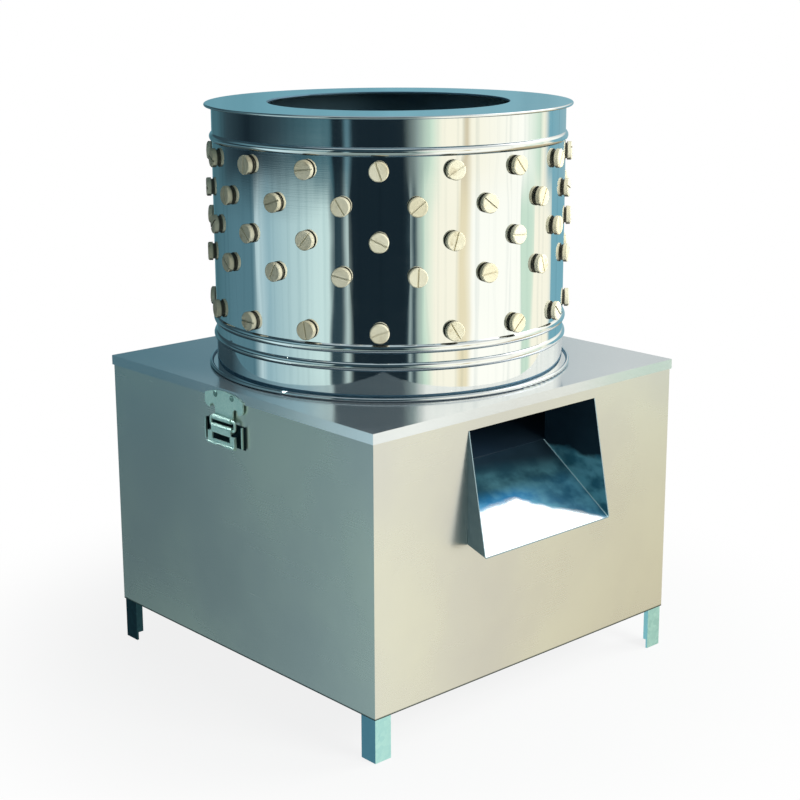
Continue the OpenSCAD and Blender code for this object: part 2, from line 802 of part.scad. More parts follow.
// Bolt and washer that hold the big pulley on the shaft's foot
module pulley_bolt() {
    washer = 3;
    color("gray") translate([0, 0, pulley_z - washer]) {
        cylinder(h = washer, r = shaft_r + 7);
        translate([0, 0, -head_ratio * key_bolt_r])
            cylinder(h = head_ratio * key_bolt_r + cut, r = corner_ratio * key_bolt_r, $fn = 6);
        cylinder(h = key_bolt_l, r = key_bolt_r - fit_gap);
    }
}

// Shaft with a shoulder between the bearings and a tapped hole in each end
module main_shaft() {
    shoulder_z = lower_seat + bearing_w + pass_gap;
    color("silver") difference() {
        union() {
            translate([0, 0, pulley_z]) cylinder(h = plate_top - pulley_z, r = shaft_r);
            translate([0, 0, shoulder_z]) cylinder(h = upper_seat - pass_gap - shoulder_z, r = shoulder_r);
        }
        translate([0, 0, pulley_z - cut]) cylinder(h = key_bolt_l + 2 * cut, r = key_bolt_r);
        translate([0, 0, plate_top - key_bolt_l]) cylinder(h = key_bolt_l + cut, r = key_bolt_r);
    }
}

module plate_hub() {
    color("dimgray") difference() {
        union() {
            translate([0, 0, hub_under]) cylinder(h = hub_t, r = hub_r);
            translate([0, 0, boss_under]) cylinder(h = boss_h + cut, r = boss_r);
        }
        translate([0, 0, boss_under - cut]) cylinder(h = boss_h + hub_t + 2 * cut, r = shaft_r + fit_gap);
        for (k = [0:plate_bolt_count - 1]) rotate([0, 0, k * 360 / plate_bolt_count])
            translate([plate_bolt_pcd, 0, hub_under - cut])
                cylinder(h = hub_t + 2 * cut, r = plate_bolt_r + pass_gap);
    }
}

module rotor_plate() {
    edge = 1;
    color("lightgray") difference() {
        translate([0, 0, plate_under]) rotate_extrude() polygon([
            [shaft_r + fit_gap, 0], [plate_r - edge, 0], [plate_r, edge], [plate_r, plate_t - edge],
            [plate_r - edge, plate_t], [shaft_r + fit_gap, plate_t]]);
        translate([0, 0, plate_under - cut]) {
            for (ring = [ring_outer, ring_middle, ring_inner])
                round_plate(ring) cylinder(h = plate_t + 2 * cut, r = hole_r);
            for (k = [0:plate_bolt_count - 1]) rotate([0, 0, k * 360 / plate_bolt_count])
                translate([plate_bolt_pcd, 0, 0])
                    cylinder(h = plate_t + 2 * cut, r = plate_bolt_r + pass_gap);
        }
    }
}

module plate_bolts() {
    color("gray") for (k = [0:plate_bolt_count - 1]) rotate([0, 0, k * 360 / plate_bolt_count])
        translate([plate_bolt_pcd, 0, plate_top]) hex_bolt(plate_bolt_r, plate_t + hub_t);
}

// Domed cap over the end of the shaft, with its screw
module plate_cap() {
    cap_r = shaft_r + 9;
    dome_h = 12;
    dome_r = (cap_r * cap_r + dome_h * dome_h) / (2 * dome_h);
    color("silver") translate([0, 0, plate_top]) {
        rotate_extrude() intersection() {
            translate([0, dome_h - dome_r]) circle(r = dome_r, $fn = 180);
            square([cap_r, dome_h]);
        }
        translate([0, 0, 2 - key_bolt_l]) cylinder(h = key_bolt_l, r = key_bolt_r - fit_gap);
    }
}

module plate_fingers_outer() { plate_fingers(ring_outer); }
module plate_fingers_middle() { plate_fingers(ring_middle); }
module plate_fingers_inner() { plate_fingers(ring_inner); }

module motor_shaft() {
    color("silver") translate([0, drive_c, pulley_z])
        cylinder(h = fan_z + fan_cover_h * 0.6 - pulley_z, r = motor_shaft_r);
}

// Fan: a hub with a disc, and straight blades that start inside the hub and stand in the disc
module motor_fan() {
    blade_count = 7;
    blade_t = 3;
    disc_t = 3;
    root = 2;
    tall = fan_cover_h * 0.4;
    fan_r = core_r - 14;
    hub = motor_shaft_r + 8;
    bore = motor_shaft_r + fit_gap;
    color("black") translate([0, drive_c, fan_z + fan_cover_h * 0.2]) {
        rotate_extrude() polygon([
            [bore, 0], [fan_r, 0], [fan_r, disc_t], [hub, disc_t], [hub, tall], [bore, tall]]);
        for (k = [0:blade_count - 1]) rotate([0, 0, k * 360 / blade_count])
            translate([hub - root, -blade_t / 2, disc_t / 2]) cube([fan_r - hub, blade_t, tall - disc_t]);
    }
}

module cable_gland() {
    tail = 12;
    nut_t = 6;
    nose = 9;
    wall = 2;
    color("black") translate([gland_x, panel_half, gland_z]) rotate([-90, 0, 0]) difference() {
        union() {
            cylinder(h = gland_flange, r = gland_nut, $fn = 6);
            translate([0, 0, gland_flange - cut])
                cylinder(h = gland_reach - gland_flange - nose + 2 * cut, r = gland_r + wall);
            translate([0, 0, gland_reach - nose])
                cylinder(h = nose, r1 = gland_r + wall, r2 = gland_bore + wall);
            translate([0, 0, -tail]) cylinder(h = tail + cut, r = gland_r);
            translate([0, 0, -panel_t - nut_t]) cylinder(h = nut_t, r = gland_nut, $fn = 6);
        }
        translate([0, 0, -tail - cut]) cylinder(h = gland_reach + tail + 2 * cut, r = gland_bore);
    }
}

// Lid with its turned-down lip and the hole under the drum
module lid() {
    color("lightsteelblue") difference() {
        translate([-lid_half, -lid_half, lid_top - lip_h]) cube([lid_w, lid_w, lip_h]);
        translate([lid_t - lid_half, lid_t - lid_half, lid_top - lip_h - cut])
            cube([lid_w - 2 * lid_t, lid_w - 2 * lid_t, lip_h + cut - lid_t]);
        translate([0, 0, lid_under - cut]) cylinder(h = lid_t + 2 * cut, r = shell_in);
        mirror_copy([1, 0, 0]) at_latch() at_rivets()
            cylinder(h = 8 * lid_t, r = rivet_r + fit_gap, center = true);
    }
}

// Shell section: a wall with three swaged beads, drawn out of the sheet so that the inside follows
module wall_section(r) {
    lean = bead_h / 2;
    bead_r = (lean * lean + bead_out * bead_out) / (2 * bead_out);
    square([r, drum_h]);
    for (z = [bead_low, bead_mid, drum_h - bead_down]) translate([drum_r + bead_out - bead_r, z])
        circle(r = bead_r - (drum_r - r));
}

module drum_shell() {
    color("gainsboro") difference() {
        translate([0, 0, lid_top]) rotate_extrude() difference() {
            wall_section(drum_r);
            wall_section(shell_in);
        }
        for (row = [0:len(row_z) - 1]) round_drum(row) cylinder(h = 6 * shell_t, r = hole_r, center = true);
    }
}

// Flat ring with a rolled edge, lying on the lid round the shell
module drum_foot_ring() {
    color("gainsboro") translate([0, 0, lid_top]) rotate_extrude() {
        translate([drum_r + fit_gap, 0]) square([foot_w - fit_gap - foot_roll, foot_t]);
        translate([drum_r + foot_w - foot_roll, foot_roll]) circle(r = foot_roll, $fn = 32);
    }
}

// Flat rim with a rolled hem round the mouth and round the outside
module drum_rim() {
    outer = drum_r + rim_overhang;
    color("lightsteelblue") translate([0, 0, shell_top]) rotate_extrude() {
        translate([mouth_r + hem_r, 0]) square([outer - mouth_r - 2 * hem_r, rim_t]);
        for (r = [mouth_r + hem_r, outer - hem_r])
            translate([r, rim_t - hem_r]) circle(r = hem_r, $fn = 32);
    }
}

module wall_fingers_row_1() { wall_fingers(0); }
module wall_fingers_row_2() { wall_fingers(1); }
module wall_fingers_row_3() { wall_fingers(2); }
module wall_fingers_row_4() { wall_fingers(3); }
module wall_fingers_row_5() { wall_fingers(4); }

// Latch pieces, drawn at the middle of the +X side, moved to their place and mirrored for the other side
module at_latch() {
    translate([0, latch_back, 0]) children();
}

module at_rivets() {
    for (y = [-rivet_pitch / 2, rivet_pitch / 2])
        translate([lid_half, y, rivet_z]) rotate([0, 90, 0]) children();
}

// Keeper outline in Y, Z: arched top, two round lobes and a tongue between two notches
module keeper_outline() {
    half = keeper_w / 2;
    arch_r = (half * half + keeper_rise * keeper_rise) / (2 * keeper_rise);
    lobe = keeper_lobe;
    intersection() {
        translate([0, keeper_top - arch_r]) circle(r = arch_r, $fn = 360);
        union() {
            translate([-half, lobe_z]) square([keeper_w, keeper_top - lobe_z]);
            for (y = [lobe - half, half - lobe]) translate([y, lobe_z]) circle(r = lobe);
            translate([lobe - half, lobe_z - lobe]) square([keeper_w - 2 * lobe, lobe]);
            translate([-knuckle_half, link_z]) square([2 * knuckle_half, lobe_z - link_z]);
        }
    }
}

module keeper() {
    notch = 6;
    difference() {
        union() {
            difference() {
                translate([lid_half, 0, 0]) along_x(latch_t) keeper_outline();
                for (y = [-knuckle_half - notch, knuckle_half + notch])
                    translate([lid_half, y, lobe_z - keeper_lobe])
                        rotate([0, 90, 0]) cylinder(h = 4 * latch_t, r = notch, center = true);
            }
            translate([pin_x, 0, link_z]) rotate([90, 0, 0])
                cylinder(h = 2 * knuckle_half, r = roll_r, center = true);
        }
        translate([pin_x, 0, link_z]) rotate([90, 0, 0])
            cylinder(h = 4 * knuckle_half, r = wire_r + run_gap, center = true);
        at_rivets() cylinder(h = 8 * latch_t, r = rivet_r + fit_gap, center = true);
    }
}

module latch_keepers() { color("silver") mirror_copy([1, 0, 0]) at_latch() keeper(); }

module keeper_rivets() {
    head = 4.5;
    dome = 2;
    ball = (head * head + dome * dome) / (2 * dome);
    color("silver") mirror_copy([1, 0, 0]) at_latch() at_rivets() {
        translate([0, 0, -lid_t]) cylinder(h = lid_t + latch_t + cut / 2, r = rivet_r);
        translate([0, 0, latch_t]) rotate_extrude($fn = 48) intersection() {
            translate([0, dome - ball]) circle(r = ball);
            square([head, dome]);
        }
    }
}

// Closed wire link with round corners, hung in the keeper's knuckle
module link() {
    bend = 2 * wire_r;
    color("silver") translate([pin_x, 0, link_z - link_l / 2]) {
        for (z = [-link_l / 2, link_l / 2]) translate([0, 0, z]) rotate([90, 0, 0])
            cylinder(h = 2 * (link_half - bend), r = wire_r, center = true);
        for (y = [-link_half, link_half]) translate([0, y, 0])
            cylinder(h = link_l - 2 * bend, r = wire_r, center = true);
        for (turn = [0, 180]) rotate([turn, 0, 0]) mirror_copy([0, 1, 0])
            translate([0, link_half - bend, link_l / 2 - bend]) rotate([0, -90, 0])
                rotate_extrude(angle = 90) translate([bend, 0]) circle(r = wire_r);
    }
}

// Lever: a roll round the link's lower wire and an open pressed frame with a flared finger edge
module lever() {
    neck_z = lever_z - 7;
    stile = 10;
    color("silver") difference() {
        union() {
            translate([pin_x, 0, lever_z]) rotate([90, 0, 0])
                cylinder(h = 2 * lever_neck, r = roll_r, center = true);
            translate([lever_face, -lever_neck, neck_z - cut]) cube([latch_t, 2 * lever_neck, 7 + cut]);
            translate([lever_face, -lever_half, lever_low])
                cube([latch_t, 2 * lever_half, neck_z - lever_low]);
            mirror_copy([0, 1, 0]) translate([lever_face - latch_t, lever_half - latch_t, lever_low])
                cube([2 * latch_t, latch_t, neck_z - lever_low]);
            translate([lever_face + latch_t, 0, lever_low + latch_t]) rotate([90, 0, 0])
                cylinder(h = 2 * lever_half, r = latch_t, center = true);
        }
        translate([pin_x, 0, lever_z]) rotate([90, 0, 0])
            cylinder(h = 4 * lever_neck, r = wire_r + run_gap, center = true);
        translate([pin_x, stile - lever_half, lever_low + 8])
            cube([4 * latch_t, 2 * (lever_half - stile), neck_z - lever_low - 9]);
        translate([lever_face, 0, lever_low + scoop_rise - scoop_r]) rotate([0, 90, 0])
            cylinder(h = 8 * latch_t, r = scoop_r, center = true);
    }
}

// Base on the panel: a plate with raised sides and a pressed-out catch for the lever
module latch_base() {
    base_low = lever_low + 1;
    catch_half = 12;
    catch_out = 5;
    translate([panel_half, -base_half, base_low]) cube([base_t, 2 * base_half, base_high - base_low]);
    mirror_copy([0, 1, 0]) translate([panel_half, base_half - latch_t, base_low + 2])
        cube([base_side, latch_t, base_high - base_low - 2]);
    translate([panel_half, 0, lever_low + 11]) along_y(2 * catch_half)
        polygon([[0, 0], [base_t, 0], [catch_out, 4], [catch_out, 6], [base_t, 5], [0, 5]]);
}

module latch_bases() { color("silver") mirror_copy([1, 0, 0]) at_latch() latch_base(); }

module latch_link_left() { mirror([1, 0, 0]) at_latch() link(); }
module latch_link_right() { at_latch() link(); }
module latch_lever_left() { mirror([1, 0, 0]) at_latch() lever(); }
module latch_lever_right() { at_latch() lever(); }

leg_front_left();
leg_front_right();
leg_rear_left();
leg_rear_right();
lower_rails();
upper_rails();
front_panel();
rear_panel();
left_panel();
right_panel();
chute();
feather_tray();
shaft_collar();
beam_rails();
cross_beam();
frame_bolts();
spindle_housing();
upper_bearing();
lower_bearing();
motor_rails();
motor_plate();
motor_bolts();
motor_body();
motor_end_bell();
motor_fan_cover();
terminal_box();
terminal_lid();
drive_belts();
cable_gland();
latch_bases();
main_shaft();
driven_pulley();
pulley_bolt();
plate_hub();
rotor_plate();
plate_bolts();
plate_cap();
plate_fingers_outer();
plate_fingers_middle();
plate_fingers_inner();
motor_shaft();
motor_pulley();
motor_fan();
lid();
drum_shell();
drum_foot_ring();
drum_rim();
wall_fingers_row_1();
wall_fingers_row_2();
wall_fingers_row_3();
wall_fingers_row_4();
wall_fingers_row_5();
latch_keepers();
keeper_rivets();
latch_link_left();
latch_link_right();
latch_lever_left();
latch_lever_right();
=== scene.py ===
# %% [markdown]
# # A drum poultry plucker
# Wet birds go into the drum, the fingered plate under them spins, and the rubber fingers rub the
# feathers off. Water carries the feathers down a tray and out of the chute in the front panel.
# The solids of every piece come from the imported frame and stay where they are. This lesson gives
# them their finishes, with the small marks of making and of use that solids leave out, and then
# sets up the camera, the room that the steel mirrors, the floor and the lamps.

# %% Load the solids
import math

import bpy
import numpy as np
from mathutils import Matrix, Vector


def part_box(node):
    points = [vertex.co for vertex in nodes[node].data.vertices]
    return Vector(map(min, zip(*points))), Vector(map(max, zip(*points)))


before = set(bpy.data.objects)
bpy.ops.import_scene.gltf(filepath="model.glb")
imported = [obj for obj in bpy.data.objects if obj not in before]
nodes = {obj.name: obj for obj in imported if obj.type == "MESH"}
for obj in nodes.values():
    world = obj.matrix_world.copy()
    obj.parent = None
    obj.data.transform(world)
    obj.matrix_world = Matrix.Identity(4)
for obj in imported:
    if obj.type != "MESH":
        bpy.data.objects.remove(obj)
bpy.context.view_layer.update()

# %% [markdown]
# ## Colours and shader sums
# Colours are easiest to read as they look on a screen, from 0 to 255, while shaders work with
# linear light, so one helper turns the first into the second. Shader sums can be wired by hand,
# one Math node at a time, but they read better as sums. A small class wraps a socket, so that
# `0.2 + 0.1 * grain` adds the two Math nodes that it needs.

# %% Colours and wires


def tone(red, green, blue):
    """Screen colour (0 to 255) as linear light with full alpha: the curve of the sRGB standard."""
    part = np.array([red, green, blue]) / 255
    line = np.where(part <= 0.04045, part / 12.92, ((part + 0.055) / 1.055) ** 2.4)
    return (*line.tolist(), 1.0)


class Wire:
    """A shader socket. Sums, products and quotients of wires and numbers add Math nodes."""

    def __init__(self, tree, socket=None):
        self.tree = tree
        self.socket = socket

    def add(self, kind, settings, sockets, out=0):
        """One new node: its settings, then the values or wires of its sockets; gives one output."""
        made = self.tree.nodes.new("ShaderNode" + kind)
        for key, value in settings.items():
            if key == "stops":
                ramp = made.color_ramp.elements
                while len(ramp) < len(value):
                    ramp.new(1.0)
                for stop, (place, colour) in zip(ramp, value):
                    stop.position = place
                    stop.color = colour
            else:
                setattr(made, key, value)
        for key, value in sockets.items():
            if isinstance(value, Wire):
                self.tree.links.new(value.socket, made.inputs[key])
            else:
                made.inputs[key].default_value = value
        return Wire(self.tree, made.outputs[out])

    def math(self, operation, first, second=0.0):
        """One Math node of two values."""
        return self.add("Math", {"operation": operation}, {0: first, 1: second})

    def __add__(self, other):
        return self.math("ADD", self, other)

    def __sub__(self, other):
        return self.math("SUBTRACT", self, other)

    def __rsub__(self, other):
        return self.math("SUBTRACT", other, self)

    def __mul__(self, other):
        return self.math("MULTIPLY", self, other)

    def __truediv__(self, other):
        return self.math("DIVIDE", self, other)

    def __rtruediv__(self, other):
        return self.math("DIVIDE", other, self)

    __radd__ = __add__
    __rmul__ = __mul__

    def ramp(self, low, high):
        """A soft step: 0 below low, 1 above high and a smooth rise between."""
        return self.add("MapRange", {"interpolation_type": "SMOOTHSTEP"},
                        {"Value": self, "From Min": low, "From Max": high})

    def mix(self, first, second):
        """Colour first where this wire is 0, and second where it is 1."""
        return self.add("Mix", {"data_type": "RGBA"}, {0: self, 6: first, 7: second}, 2)

    def vector(self, operation, first, second=(0, 0, 0)):
        """One Vector Math node whose result is a number."""
        return self.add("VectorMath", {"operation": operation}, {0: first, 1: second}, "Value")

    def place(self, stretch=(1, 1, 1)):
        """Object coordinates in metres, multiplied axis by axis."""
        here = self.add("TexCoord", {}, {}, "Object")
        return self.add("VectorMath", {"operation": "MULTIPLY"}, {0: here, 1: stretch})

    def along(self, axis):
        """Object coordinate on one axis, X, Y or Z, in metres."""
        return self.add("SeparateXYZ", {}, {0: self.place()}, axis)

    def noise(self, stretch, detail=2.0):
        """Cloudy noise from 0 to 1; a large stretch along one axis makes lines across it."""
        return self.add("TexNoise", {}, {"Vector": self.place(stretch), "Scale": 1.0, "Detail": detail})

    def normal(self):
        """The direction that the face looks in."""
        return self.add("NewGeometry", {}, {}, "Normal")

    def facing(self, axis):
        """How far a face looks along one axis: 1 along it, 0 square to it and -1 against it."""
        return self.add("SeparateXYZ", {}, {0: self.normal()}, axis)

    def facing_out(self):
        """1 on faces that look up or away from the drum's axis, and 0 on those that look down or at it."""
        outward = self.vector("DOT_PRODUCT", self.normal(), self.place((1, 1, 0)))
        return outward.ramp(-0.03, -0.01) * self.facing("Z").ramp(-0.8, -0.6)


def new_finish(name, **fixed):
    """A material, its shader and a wire to build with; fixed numbers go on the shader's own sockets."""
    made = bpy.data.materials.new(name)
    made.use_nodes = True
    shader = made.node_tree.nodes["Principled BSDF"]
    for key, value in fixed.items():
        shader.inputs[key.replace("_", " ")].default_value = value
    return made, shader, Wire(made.node_tree)


def feed(shader, **wires):
    """Links wires to the shader's sockets, such as Roughness or Base_Color."""
    for key, wire in wires.items():
        wire.tree.links.new(wire.socket, shader.inputs[key.replace("_", " ")])


def bump(wire, height, depth, under=None):
    """Relief of a given depth in metres, laid over an earlier relief where there is one."""
    sockets = {"Height": height, "Distance": depth, "Strength": 1.0}
    if under is not None:
        sockets["Normal"] = under
    return wire.add("Bump", {}, sockets)


print("wires ready; middle grey is", round(tone(128, 128, 128)[0], 3), "in linear light")

# %% [markdown]
# ## Polished drum
# The drum is one rolled sheet, buffed to a mirror on the outside. A flat mirror would look false:
# the rolls leave slow upright waves, the buffing wheel leaves faint rings, and hands leave smears.
# The waves and rings are relief in the shader, because they're far too shallow for a mesh. The
# faces that look down, under the beads, are painted dark as shade. The inside is scrubbed and
# stained by work, so the finish turns dull where a face looks at the axis.

# %% Drum finish
BUFFING_DEPTH = 0.000006
WAVE_DEPTH = 0.00018
DENT_SHARE = 3
# Painted shade for the faces that look down, under the beads.
BEAD_UNDERSIDE_SHADE = tone(40, 58, 66)


def drum_finish():
    """Mirror steel outside (roughness near 0.06), dull inside (0.5), waves of 0.2 mm, dents of 0.5 mm."""
    made, shader, w = new_finish("polished_steel", Metallic=1.0)
    rings = w.noise((4, 4, 800), detail=3)
    waves = w.noise((26, 26, 1.5), detail=1)
    dents = w.noise((9, 9, 6), detail=2)
    smears = w.noise((7, 7, 12), detail=5)
    outside = w.facing_out()
    buffed = smears.mix(tone(242, 245, 246), tone(250, 251, 251))
    # Faces that look down, under the beads, take the painted shade.
    clean = w.facing("Z").ramp(-0.8, -0.25).mix(BEAD_UNDERSIDE_SHADE, buffed)
    stained = smears.mix(tone(84, 118, 142), tone(130, 165, 186))
    polish = 0.47 - 0.03 * rings - 0.04 * smears.ramp(0.45, 0.75)
    rolled = bump(w, waves + DENT_SHARE * dents, WAVE_DEPTH)
    feed(shader, Base_Color=outside.mix(stained, clean), Roughness=0.5 - outside * polish,
         Normal=bump(w, rings, BUFFING_DEPTH, rolled))
    return made


finishes = {"drum_steel": drum_finish()}
print("drum finish has", len(finishes["drum_steel"].node_tree.nodes), "nodes")

# %% [markdown]
# ## Sheet steel of the stand
# Lid, panels, tray and plate are mill sheet with a satin face. Satin sheet is never even: it has
# fine lines from the rolling, cloudy patches where it was wiped, and a few longer scratches. The
# lid's long lips bow outwards a little between their ends, and a thin line of painted shade runs
# along the panels' lower edge. The tray's near-black navy is painted shade of the stand's inside.
# One function makes all of them, with the direction of the lines, the shine, the tint and the bow
# given, because the sheets differ only in these.

# %% Sheet finishes
HALF_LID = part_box("lid")[1][0]
PANEL_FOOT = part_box("left_panel")[0][2]
# Painted shade: a thin dark line along the panels' lower edge, below these heights.
FOOT_SHADE_FROM, FOOT_SHADE_TO = 0.0008, 0.003
FOOT_SHADE_LINE = tone(70, 82, 82)
INSIDE_STAIN = tone(44, 58, 66)
LINE_DEPTH = 0.0000006
CLOUD_DEPTH = 0.0006


def sheet_finish(name, stretch, shine, dull, dark, light, bare=1.0, bow=0.0):
    """Satin steel: roughness from shine to dull by lines and clouds, colour by clouds, stained insides.

    Bare is the share of metal that shows, and less of it shows where a face looks at the axis.
    Bow is how far an upright face swells between its ends, in metres, by the square of the distance.
    """
    made, shader, w = new_finish(name)
    lines = w.noise(stretch, detail=4)
    clouds = w.noise((3.1, 3.1, 3.1), detail=5)
    wiped = w.noise((11, 11, 5), detail=3)
    scratches = w.noise(tuple(0.35 * axis for axis in stretch), detail=1).ramp(0.70, 0.74)
    outside = w.facing_out()
    clean = (0.7 * clouds.ramp(0.35, 0.65) + 0.3 * wiped).mix(dark, light)
    above = w.along("Z") - PANEL_FOOT
    # A thin line of painted shade along the panels' lower edge.
    clean = above.ramp(FOOT_SHADE_FROM, FOOT_SHADE_TO).mix(FOOT_SHADE_LINE, clean)
    stained = (0.5 * wiped).mix(INSIDE_STAIN, dark)
    satin = shine + (dull - shine) * (0.12 * lines + 0.88 * clouds) + 0.01 * scratches
    bowed = None
    if bow:
        flat = w.place((1 / HALF_LID, 1 / HALF_LID, 0))
        upright = 1 - w.facing("Z").ramp(0.3, 0.6)
        bowed = bump(w, (2 - w.vector("DOT_PRODUCT", flat, flat)) * upright, bow)
    feed(shader, Base_Color=outside.mix(stained, clean), Metallic=bare * (0.3 + 0.7 * outside),
         Roughness=satin + 0.2 - 0.2 * outside,
         Normal=bump(w, lines, LINE_DEPTH, bump(w, clouds, CLOUD_DEPTH, bowed)))
    return made


finishes["panel_steel"] = sheet_finish(
    "satin_panel", stretch=(5, 5, 900), shine=0.20, dull=0.34,
    dark=tone(223, 223, 222), light=tone(239, 240, 228))
finishes["lid_steel"] = sheet_finish(
    "satin_lid", stretch=(5, 600, 600), shine=0.10, dull=0.20,
    dark=tone(222, 226, 230), light=tone(236, 239, 241), bare=0.90, bow=0.010)
finishes["plate_steel"] = sheet_finish(
    "scrubbed_plate", stretch=(60, 60, 60), shine=0.24, dull=0.42,
    dark=tone(150, 158, 162), light=tone(190, 196, 198))
# The tray's near-black navy is painted shade of the stand's inside.
finishes["feather_tray"] = sheet_finish(
    "shaded_tray", stretch=(6, 300, 300), shine=0.22, dull=0.44,
    dark=tone(24, 38, 50), light=tone(48, 66, 80), bare=0.3)
print("sheet finishes:", sorted(finishes))

# %% [markdown]
# ## Wet chute
# Water and feathers run over the chute all day. Its front edge is a bright mirror and bulges a
# little, while further in the floor is painted with reflection and shade: blue and then teal
# painted reflection towards the edge of that zone, and painted navy shade, nearly black, at the
# back. On the right the painted zone reaches further forward. The cheeks are a lighter teal below
# half their height and take the painted navy shade above it. A light line runs along both sides
# of the floor. All this follows the distance from the lip, from the middle and from the floor,
# with cloudy edges, so no second piece is needed for it.

# %% Chute finish
CHUTE_LOW, CHUTE_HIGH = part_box("chute")
CHUTE_RUN = CHUTE_HIGH[1] - CHUTE_LOW[1]
CHEEK_SPLIT = (CHUTE_LOW[2] + CHUTE_HIGH[2]) / 2
CHEEK_BLUR = 0.004
# A light line along both sides of the chute's floor.
SIDE_LINE_FROM, SIDE_LINE_TO = CHUTE_HIGH[0] - 0.0045, CHUTE_HIGH[0] - 0.003
SIDE_LINE_TONE = tone(184, 216, 222)
SCOURED = tone(238, 244, 247)
BULGE = 0.004
SPATTER_DEPTH = 0.0002
# Past these shares of the run the floor is painted with reflection and shade.
PAINTED_ZONE_FROM, PAINTED_ZONE_TO = 0.43, 0.50
LEAN_PER_METRE = 4.0


def film_tones(clouds, sideways, edge):
    """Painted floor colours: blue painted reflection near the zone's edge and on the left, then teal, navy
    painted shade at the back.
    """
    # Blue and teal are painted reflection, navy is painted shade.
    blue = clouds.ramp(0.35, 0.7).mix(tone(30, 112, 160), tone(92, 164, 204))
    teal = clouds.ramp(0.3, 0.7).mix(tone(38, 76, 90), tone(78, 128, 140))
    navy = clouds.mix(tone(26, 42, 54), tone(40, 60, 72))
    rightward = (sideways + 0.1 * clouds - 0.05).ramp(-0.02, 0.06)
    blueness = (1 - 0.75 * rightward) * (1 - edge.ramp(0.48, 0.66))
    floor = (edge + 0.8 * sideways).ramp(0.72, 0.94).mix(blueness.mix(teal, blue), navy)
    return floor, navy


def chute_finish():
    """Mirror floor that bulges by 4 mm in front; from 0.43 of the run on, and on the cheeks, painted
    reflection and shade.
    """
    made, shader, w = new_finish("wet_chute")
    clouds = w.noise((30, 30, 50), detail=5)
    lines = w.noise((500, 9, 9), detail=2)
    run = (w.along("Y") - CHUTE_LOW[1]) / CHUTE_RUN
    sideways = w.along("X")
    upward = w.facing("Z").ramp(0.3, 0.6)
    edge = run + 0.12 * clouds - 0.06
    lean = LEAN_PER_METRE * w.math("MAXIMUM", sideways + 0.005, 0.0)
    # Past the front mirror, and on the cheeks, reflection and shade are painted into the colour.
    film = 1 - (1 - (edge + lean).ramp(PAINTED_ZONE_FROM, PAINTED_ZONE_TO)) * upward
    floor, navy = film_tones(clouds, sideways, edge)
    # A light line along both sides of the floor, by the cheeks.
    floor = w.math("ABSOLUTE", sideways).ramp(SIDE_LINE_FROM, SIDE_LINE_TO).mix(floor, SIDE_LINE_TONE)
    rise = w.along("Z") + 0.03 * clouds - 0.015
    lower_cheek = clouds.ramp(0.35, 0.65).mix(tone(66, 128, 146), tone(132, 196, 208))
    # Above half height the cheeks take the painted navy shade.
    inner = rise.ramp(CHEEK_SPLIT - CHEEK_BLUR, CHEEK_SPLIT + CHEEK_BLUR).mix(lower_cheek, navy)
    outer = clouds.mix(tone(120, 142, 150), tone(150, 170, 176))
    cheek = w.facing_out().mix(inner, outer)
    bulged = bump(w, run.ramp(0.1, 0.6), BULGE)
    feed(shader, Base_Color=film.mix(SCOURED, upward.mix(cheek, floor)), Metallic=1 - 0.55 * film,
         Roughness=0.05 + 0.04 * lines + 0.28 * film, Normal=bump(w, clouds, SPATTER_DEPTH, bulged))
    return made


finishes["chute_steel"] = chute_finish()
print("chute runs", round(CHUTE_RUN, 4), "m from lip to back")

# %% [markdown]
# ## Angle iron, zinc and turned steel
# The legs are galvanised angle, with a cool cast and the flake-like grains of hot zinc, so the
# flat cells of a random mosaic tint them. The front left leg's left side is painted darker as
# shade, and the rear left leg is painted dark all over as shade. The latches and the bolts are
# bright zinc plate, smooth with a faint blue-green bloom, while the rivets and the sunken part of
# the latch bases are painted dark as shade. Shafts are turned, so their lines run round the axis.

# %% Iron and zinc finishes
BASE_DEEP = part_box("left_panel")[0][0] * -1 + 0.0025
BASE_PROUD = BASE_DEEP + 0.0025
LEG_GRAIN = 0.006
PLATED_GRAIN = 0.002
LEG_TONES = {"dark": tone(172, 228, 236), "light": tone(200, 249, 251)}
ZINC_DEPTH = 0.00008
BASE_DEPTH = 0.0001
TURNING_DEPTH = 0.00002


def zinc_finish(name, grain, rough, dark, light, left_side_shade=None):
    """Zinc coat: flat cells of one grain size tint it, a cloud dulls it; left faces may take a painted
    shade.
    """
    made, shader, w = new_finish(name, Metallic=1.0)
    flake = w.add("TexVoronoi", {}, {"Vector": w.place(), "Scale": 1 / grain}, "Color")
    cell = w.add("SeparateColor", {}, {"Color": flake}, "Red")
    cloud = w.noise((30, 30, 30), detail=5)
    colour = (0.6 * cell + 0.4 * cloud).mix(dark, light)
    if left_side_shade:
        # Faces that look left take a painted shade.
        left_shaded = (0.3 * cloud).mix(left_side_shade, dark)
        colour = w.facing("X").ramp(-0.9, -0.5).mix(left_shaded, colour)
    feed(shader, Base_Color=colour, Roughness=rough + 0.14 * cloud + 0.06 * cell,
         Normal=bump(w, cloud, ZINC_DEPTH))
    return made


def base_finish():
    """Zinc that stays bright on the rims that stand proud, and is painted dark as shade down at the panel.
    """
    made, shader, w = new_finish("shade_dark_base", Metallic=1.0)
    cloud = w.noise((60, 60, 60), detail=5)
    proud = w.math("ABSOLUTE", w.along("X")).ramp(BASE_DEEP, BASE_PROUD)
    # The sunken part, down at the panel, is painted dark as shade.
    sunken = cloud.mix(tone(20, 40, 48), tone(40, 64, 70))
    feed(shader, Base_Color=proud.mix(sunken, tone(220, 246, 238)), Roughness=0.42 + 0.14 * cloud,
         Normal=bump(w, cloud, BASE_DEPTH))
    return made


